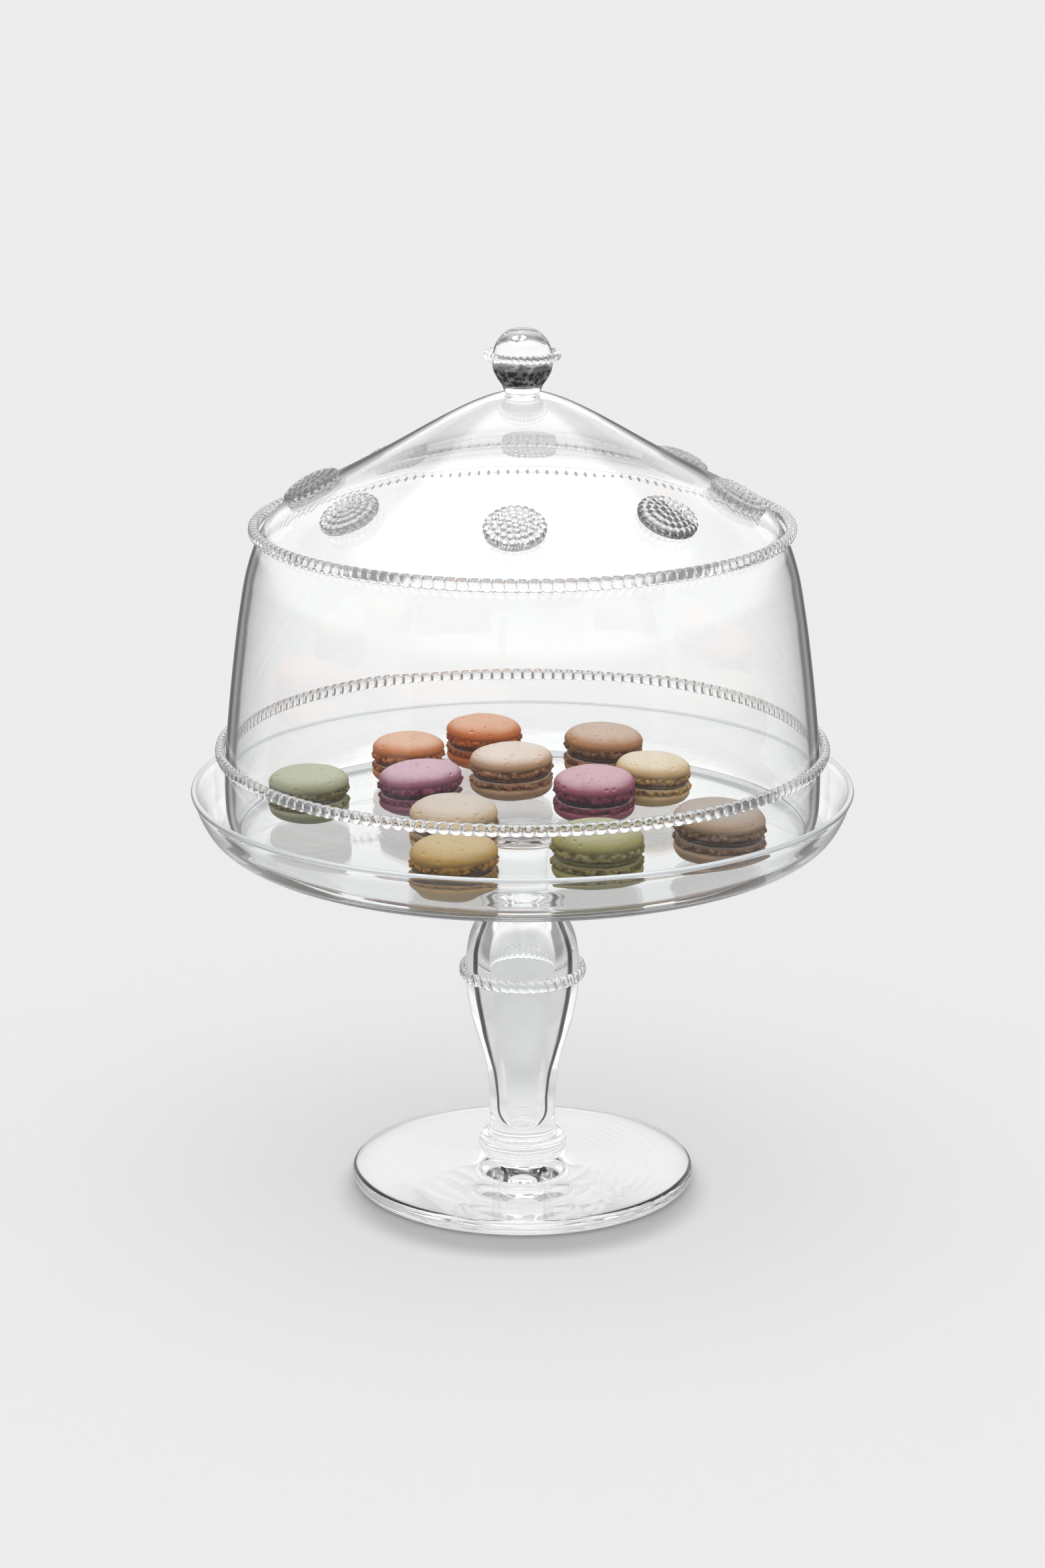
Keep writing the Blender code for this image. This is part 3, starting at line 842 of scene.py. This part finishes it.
crustLook = {
    "cloudScale": 90,
    "speckScale": 1500,
    "grainScale": 1400,
    "grainDepth": 0.4 * mm,
    "paleBakeAndLightBetween": (0.45, 1.05),  # how far a face looks up before it turns pale, partly bake and partly painted highlight
    "footRoughness": 0.85,
    "skinRoughness": 0.50,
}
creamLook = {"cloudScale": 420, "grainScale": 700, "grainDepth": 0.5 * mm}


def shellMaterial(name, top, skin, foot):
    material, tree, crust = startMaterial(name)
    place = addNode(tree, "ShaderNodeTexCoord").outputs["Object"]
    mask, relief = valueOf(tree, "ruffle"), valueOf(tree, "relief")
    paintedShade = tuple(c * 0.30 for c in foot)
    cloudy = ramp(tree, noiseOf(tree, place, crustLook["cloudScale"], 3.0), 0.35, 0.65)
    # the top turns pale and the sides stay deep: partly the paler bake of the top, partly a painted highlight
    # where the light from above falls
    up = splitOf(tree, addNode(tree, "ShaderNodeNewGeometry").outputs["Normal"])[2]
    paleBakeAndLight = calc(tree, "ADD", up, ramp(tree, cloudy, 0.0, 1.0, -0.05, 0.05, "LINEAR"))
    toned = mixColour(tree, ramp(tree, paleBakeAndLight, *crustLook["paleBakeAndLightBetween"]), (*skin, 1.0), (*top, 1.0))
    specks = ramp(tree, noiseOf(tree, place, crustLook["speckScale"], 1.0), 0.60, 0.70, 0.0, 0.45)
    toned = mixColour(tree, specks, toned, (*(c * 0.6 for c in skin), 1.0))
    # painted shade: the crumb darkens in its hollows, and its crests go towards the skin colour
    lit = ramp(tree, relief, -0.35, 0.25)
    crumb = mixColour(tree, lit, (*paintedShade, 1.0), (*foot, 1.0))
    crests = ramp(tree, relief, 0.15, 0.5, 0.0, 0.55)
    crumb = mixColour(tree, crests, crumb, (*skin, 1.0))
    feed(tree, crust.inputs["Base Color"], mixColour(tree, ramp(tree, mask, 0.15, 0.6), toned, crumb))
    dull = ramp(tree, mask, 0.0, 1.0, crustLook["skinRoughness"], crustLook["footRoughness"], "LINEAR")
    feed(tree, crust.inputs["Roughness"], dull)
    crust.inputs["Specular IOR Level"].default_value = 0.35
    addBump(tree, crust, 0.35, crustLook["grainDepth"], noiseOf(tree, place, crustLook["grainScale"], 3.0))
    return material


def creamMaterial(name, colour):
    material, tree, cream = startMaterial(name)
    place = addNode(tree, "ShaderNodeTexCoord").outputs["Object"]
    uneven = ramp(tree, noiseOf(tree, place, creamLook["cloudScale"], 3.0), 0.35, 0.65)
    darker = (*(c * 0.7 for c in colour), 1.0)
    feed(tree, cream.inputs["Base Color"], mixColour(tree, uneven, (*colour, 1.0), darker))
    cream.inputs["Roughness"].default_value = 0.5
    addBump(tree, cream, 0.3, creamLook["grainDepth"], noiseOf(tree, place, creamLook["grainScale"], 2.0))
    return material


# share of the radius, share of the shell's height, ruffle mask; the base is this profile upside down
shellProfile = [
    (0.88, 0.00, 0.0), (0.965, 0.03, 0.6), (0.995, 0.10, 1.0), (1.0, 0.17, 1.0), (0.985, 0.235, 1.0),
    (0.965, 0.285, 0.7), (0.975, 0.33, 0.1), (0.998, 0.40, 0.0), (1.0, 0.48, 0.0), (0.975, 0.60, 0.0),
    (0.92, 0.72, 0.0), (0.82, 0.84, 0.0), (0.66, 0.935, 0.0), (0.45, 0.985, 0.0), (0.22, 1.0, 0.0),
    (0.0, 1.0, 0.0),
]


def shellMesh(name, radius, low, high, flipped, lean, bearing, wholeHeight, floor):
    knots = [(r * radius, z * (high - low)) for r, z, _ in shellProfile]
    masks = [m for _, _, m in shellProfile]
    dense = [(0.0, 0.0)] + smoothed(knots, macaronShape["step"], 80)
    heights = [k[1] for k in knots]
    ruffle, skin = [], []
    for r, z in dense:
        share = float(np.interp(z, heights, masks)) if r > macaronShape["footInside"] * radius else 0.0
        ruffle.append(share)
        skin.append(0.0 if share > 0 or z < macaronShape["skinFrom"] * (high - low) else 1.0)
    outline = [(r, high - z) if flipped else (r, low + z) for r, z in dense]
    if flipped:
        outline, ruffle, skin = outline[::-1], ruffle[::-1], skin[::-1]
    sides = macaronShape["sides"]
    mesh = turned(name, outline, sides)
    for label, shares in (("ruffle", ruffle), ("skin", skin)):
        spread = np.repeat(np.array(shares[1:-1], np.float32), sides)
        spread = np.concatenate([spread, np.zeros(2, np.float32)])
        mesh.attributes.new(label, "FLOAT", "POINT").data.foreach_set("value", spread)
    tilt(mesh, lean, bearing, wholeHeight, floor)
    return mesh


# the upper part leans, while the underside stays flat on the plate
def tilt(mesh, lean, bearing, wholeHeight, floor):
    places = pointsOf(mesh)
    slope = math.tan(math.radians(lean))
    toward = np.array((math.sin(math.radians(bearing)), -math.cos(math.radians(bearing))))
    share = np.clip((places[:, 2] - floor) / (macaronShape["baseShare"] * wholeHeight), 0, 1)
    places[:, 2] -= slope * share * (places[:, :2] @ toward)
    setPoints(mesh, places)


def fillingMesh(name, radius, low, high, lean, bearing, wholeHeight, floor):
    look = macaronShape
    middle = (low + high) / 2
    half = (high - low) / 2
    outline = [(0.0, low)] + [(radius * k / 10, low) for k in range(1, 9)]
    for k in range(9):
        angle = -math.pi / 2 + math.pi * k / 8
        out = radius * look["fillingReach"] + radius * look["fillingBulge"] * math.cos(angle)
        outline.append((out, middle + half * math.sin(angle)))
    outline += [(radius * k / 10, high) for k in range(8, 0, -1)] + [(0.0, high)]
    mesh = turned(name, outline, look["fillingSides"])
    reach = np.linalg.norm(pointsOf(mesh)[:, :2], axis=1)
    for label, amount in (("ruffle", look["fillingRough"]), ("skin", 0.0)):
        values = np.where(reach > 0.8 * radius, amount, 0.0).astype(np.float32)
        mesh.attributes.new(label, "FLOAT", "POINT").data.foreach_set("value", values)
    tilt(mesh, lean, bearing, wholeHeight, floor)
    return mesh


def buildMacarons():
    tree = bakeTree()
    for number, (name, (top, skin, foot, cream, lean, bearing)) in enumerate(macarons.items()):
        crust = shellMaterial(f"{name}_crust", top, skin, foot)
        ganache = creamMaterial(f"{name}_cream", cream)
        nodes = {piece: f"macaron_{name}_{piece}" for piece in ("base", "filling", "cap")}
        boxes = {piece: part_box(node) for piece, node in nodes.items()}
        floor = boxes["base"][0].z
        radius = (boxes["base"][1].x - boxes["base"][0].x) / 2
        centre = (boxes["base"][0] + boxes["base"][1]) / 2
        slopeReach = radius * math.tan(math.radians(lean))
        peak = boxes["cap"][1].z - 0.5 * slopeReach
        wholeHeight = peak - floor
        baseTop = floor + macaronShape["baseShare"] * wholeHeight
        fillingTop = floor + macaronShape["fillingShare"] * wholeHeight
        for piece in ("base", "filling", "cap"):
            if piece == "filling":
                args = (radius, baseTop + macaronShape["gap"], fillingTop - macaronShape["gap"])
                mesh = fillingMesh(nodes[piece] + "_soft", *args, lean, bearing, wholeHeight, floor)
            else:
                low, high = (floor, baseTop) if piece == "base" else (fillingTop, peak)
                args = (radius, low, high, piece == "base")
                mesh = shellMesh(nodes[piece] + "_shell", *args, lean, bearing, wholeHeight, floor)
            values = {
                "Ruffle": macaronShape["ruffle"],
                "Crumb": macaronShape["crumb"],
                "Swell": macaronShape["swell"],
                "Pore": macaronShape["pore"],
                "Seed": number * 0.37 + (0.11 if piece == "cap" else 0.0),
                "Material": ganache if piece == "filling" else crust,
            }
            mesh.transform(Matrix.Translation((centre.x, centre.y, 0)))
            baked = grown(nodes[piece] + "_baked", tree, values, mesh)
            places = pointsOf(baked)
            places[:, 2] = np.maximum(places[:, 2], floor)
            setPoints(baked, places)
            slot = f"{name}_cream" if piece == "filling" else f"{name}_shell"
            addPiece(nodes[piece] + "_baked", baked, values["Material"], "stand", slot, nodes[piece])


buildMacarons()
print("macarons baked")


# ---- floor, light and camera ----

studio = {
    "floorSide": 60.0,
    "floorDrop": 0.35 * mm,  # the table is a hair below the foot, so that light gets out of its underside
    "floorSeen": grey(0.69),  # the table as it is looked at
    "floorShaded": grey(0.44),  # and close before the foot, where a painted shadow lies
    "shadowAhead": 22 * mm,
    "floorUnder": grey(0.78),  # as glass sees it: under the foot, behind the stem and further off; behind the stem it is a painted grey pool of shade
    "floorNear": (0.55, 0.555, 0.56, 1.0),
    "floorFar": grey(0.82),
    "floorBounce": grey(0.24),  # and what it throws back up at the food
    # distances from the stand's axis between which one floor colour gives way to the next
    "nearBetween": (0.10, 0.20),
    "farBetween": (0.40, 0.75),
    "dimBetween": (0.30, 0.60),
    "shadedBetween": (0.077, 0.099),
    "backdrop": grey(0.832),
    # brightness of the room as glass mirrors it, and as it lights things: (sine of the height, brightness)
    "mirrored": [(0.0, 1.15), (0.42, 1.1), (0.50, 0.80), (0.68, 0.80), (0.80, 2.1), (1.0, 2.2)],
    # what glass mirrors low in the room is dim, which keeps haze off it
    "dimRoom": grey(0.35),
    "dimUpTo": (0.02, 0.16),  # sine of the height
    "dimFloor": grey(0.26),
    "lighting": [(0.0, 0.08), (0.35, 0.12), (0.6, 0.72), (0.8, 1.92), (1.0, 2.08)],
    # upright light panels in front: where they stand (m), how wide and tall they are, and their brightness
    "panels": [(-1.05, -1.05, 0.22, 1.3, 0.7), (1.15, -0.95, 0.16, 1.3, 0.6), (-0.25, -1.75, 0.10, 1.0, 0.4)],
}

cameraView = {
    "distance": 1.9052,
    "height": 0.7468,
    "pitch": 15.81,  # degrees below level
    "lens": 91.04,
    "sensor": 36.0,
}


def buildFloor():
    half, drop = studio["floorSide"] / 2, -studio["floorDrop"]
    mesh = bpy.data.meshes.new("floor")
    corners = [(-half, -half, drop), (half, -half, drop), (half, half, drop), (-half, half, drop)]
    mesh.from_pydata(corners, [], [(0, 1, 2, 3)])
    floor = bpy.data.objects.new("floor", mesh)
    scene.collection.objects.link(floor)
    material, tree, paint = startMaterial("floor_pale")
    x, y, _ = splitOf(tree, addNode(tree, "ShaderNodeTexCoord").outputs["Object"])
    reach = reachOf(tree, x, y)
    # painted shade: a grey pool on the floor round the stand, seen only through the glass
    off = mixColour(tree, ramp(tree, reach, *studio["nearBetween"]), studio["floorUnder"], studio["floorNear"])
    off = mixColour(tree, ramp(tree, reach, *studio["farBetween"]), off, studio["floorFar"])
    path = addNode(tree, "ShaderNodeLightPath").outputs
    bounced = calc(tree, "GREATER_THAN", path["Glossy Depth"], 0.5)
    mirrored = calc(tree, "MULTIPLY", bounced, ramp(tree, reach, *studio["dimBetween"]))
    off = mixColour(tree, mirrored, off, studio["dimFloor"])
    # a painted soft shadow of the foot, which falls forwards
    ahead = reachOf(tree, x, calc(tree, "ADD", y, studio["shadowAhead"]))
    lit = ramp(tree, ahead, *studio["shadedBetween"])
    near = mixColour(tree, lit, studio["floorShaded"], studio["floorSeen"])
    thrown = mixColour(tree, path["Is Diffuse Ray"], off, studio["floorBounce"])
    feed(tree, paint.inputs["Base Color"], mixColour(tree, path["Is Camera Ray"], thrown, near))
    paint.inputs["Roughness"].default_value = 1.0
    paint.inputs["Specular IOR Level"].default_value = 0.0
    mesh.materials.append(material)


# a brightness that follows the listed (height, brightness) pairs, as a grey colour
def risingLight(tree, up, steps):
    level = steps[0][1]
    for (low, before), (high, after) in zip(steps, steps[1:]):
        level = calc(tree, "ADD", level, ramp(tree, up, low, high, 0.0, after - before))
    even = addNode(tree, "ShaderNodeCombineXYZ")
    for socket in even.inputs:
        feed(tree, socket, level)
    return even.outputs[0]


def buildLight():
    world = bpy.data.worlds.new("studio")
    scene.world = world
    world.use_nodes = True
    world.cycles.sampling_method = "NONE"
    tree = world.node_tree
    back = tree.nodes["Background"]
    up = splitOf(tree, addNode(tree, "ShaderNodeTexCoord").outputs["Generated"])[2]
    path = addNode(tree, "ShaderNodeLightPath").outputs
    bounced = calc(tree, "GREATER_THAN", path["Glossy Depth"], 0.5)
    low = calc(tree, "MULTIPLY", bounced, ramp(tree, up, *studio["dimUpTo"], 1.0, 0.0))
    mirrored = mixColour(tree, low, risingLight(tree, up, studio["mirrored"]), studio["dimRoom"])
    lighting = risingLight(tree, up, studio["lighting"])
    room = mixColour(tree, path["Is Diffuse Ray"], mirrored, lighting)
    feed(tree, back.inputs["Color"], mixColour(tree, path["Is Camera Ray"], room, studio["backdrop"]))


# upright panels of light, never looked at directly, that the glass mirrors as soft stripes
def buildPanels():
    for number, (x, y, wide, tall, power) in enumerate(studio["panels"]):
        name = f"light_panel_{number + 1}"
        mesh = bpy.data.meshes.new(name)
        half = wide / 2
        corners = [(-half, 0, 0), (half, 0, 0), (half, 0, tall), (-half, 0, tall)]
        mesh.from_pydata(corners, [], [(0, 1, 2, 3)])
        panel = bpy.data.objects.new(name, mesh)
        panel.location = (x, y, 0.01)
        panel.rotation_euler = (0, 0, math.atan2(-x, y) + math.pi)
        for rays in ("camera", "shadow", "diffuse", "transmission"):
            setattr(panel, "visible_" + rays, False)
        scene.collection.objects.link(panel)
        material, _, paint = startMaterial(name)
        paint.inputs["Base Color"].default_value = (0, 0, 0, 1)
        paint.inputs["Emission Color"].default_value = (1, 1, 1, 1)
        paint.inputs["Emission Strength"].default_value = power
        mesh.materials.append(material)


def buildCamera():
    data = bpy.data.cameras.new("camera")
    data.sensor_width = cameraView["sensor"]
    data.lens = cameraView["lens"]
    data.clip_end = 200
    camera = bpy.data.objects.new("camera", data)
    camera.location = (0, -cameraView["distance"], cameraView["height"])
    camera.rotation_euler = (math.radians(90 - cameraView["pitch"]), 0, 0)
    scene.collection.objects.link(camera)
    scene.camera = camera


buildFloor()
buildLight()
buildPanels()
buildCamera()
scene.view_settings.view_transform = "Standard"
scene.cycles.max_bounces = 32
scene.cycles.transmission_bounces = 32
scene.cycles.transparent_max_bounces = 48
scene.cycles.glossy_bounces = 12
print("studio lit")
